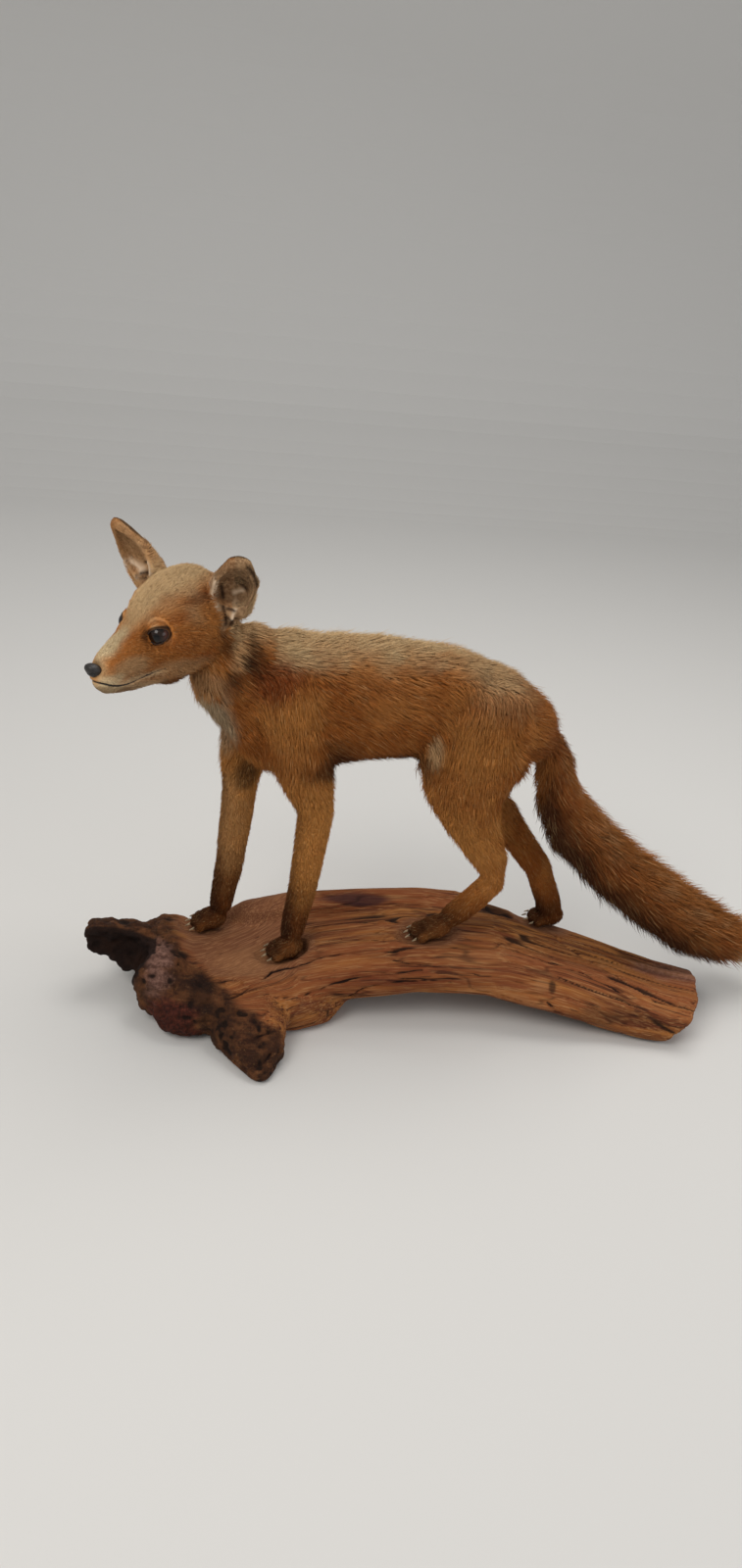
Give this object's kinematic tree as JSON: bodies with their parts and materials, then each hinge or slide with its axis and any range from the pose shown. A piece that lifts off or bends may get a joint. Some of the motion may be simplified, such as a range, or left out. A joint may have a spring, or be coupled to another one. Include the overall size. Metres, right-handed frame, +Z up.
{
  "type": "taxidermy red fox on driftwood",
  "caption": "Young red fox standing on an arched piece of driftwood, head turned to its left and brush hanging behind; a still mounted specimen.",
  "frame": {"origin": "on the floor under the middle of the bounding box", "axes": "+Z up; the trunk and the driftwood lie along X with the fox's breast towards -X; the fox's left side, to which it turns its head, is -Y"},
  "size_m": [0.794, 0.2422, 0.51],
  "materials": {
    "fur": "soft sandy-tan to ochre fur, cream on the cheek and throat, rusty brush",
    "claw_horn": "pale horn, satin",
    "nose_skin": "black, fine-grained, slightly shiny",
    "glass_eye": "dark brown glass eye, polished",
    "driftwood": "weathered, bare, reddish-brown with long grain cracks"
  },
  "bodies": {
    "root": {"head": "fur", "lower_jaw": "fur", "nose": "nose_skin", "eye_left": "glass_eye", "ear_left": "fur", "eye_right": "glass_eye", "ear_right": "fur", "neck": "fur", "trunk": "fur", "tail_base": "fur", "tail_brush": "fur", "tail_tip": "fur", "front_left_shoulder": "fur", "front_left_forearm": "fur", "front_left_paw": "fur", "front_left_claw_1": "claw_horn", "front_left_claw_2": "claw_horn", "front_left_claw_3": "claw_horn", "front_left_claw_4": "claw_horn", "front_right_shoulder": "fur", "front_right_forearm": "fur", "front_right_paw": "fur", "front_right_claw_1": "claw_horn", "front_right_claw_2": "claw_horn", "front_right_claw_3": "claw_horn", "front_right_claw_4": "claw_horn", "hind_left_thigh": "fur", "hind_left_shank": "fur", "hind_left_metatarsus": "fur", "hind_left_paw": "fur", "hind_left_claw_1": "claw_horn", "hind_left_claw_2": "claw_horn", "hind_left_claw_3": "claw_horn", "hind_left_claw_4": "claw_horn", "hind_right_thigh": "fur", "hind_right_shank": "fur", "hind_right_metatarsus": "fur", "hind_right_paw": "fur", "hind_right_claw_1": "claw_horn", "hind_right_claw_2": "claw_horn", "hind_right_claw_3": "claw_horn", "hind_right_claw_4": "claw_horn", "driftwood": "driftwood"}
  },
  "joints": []
}
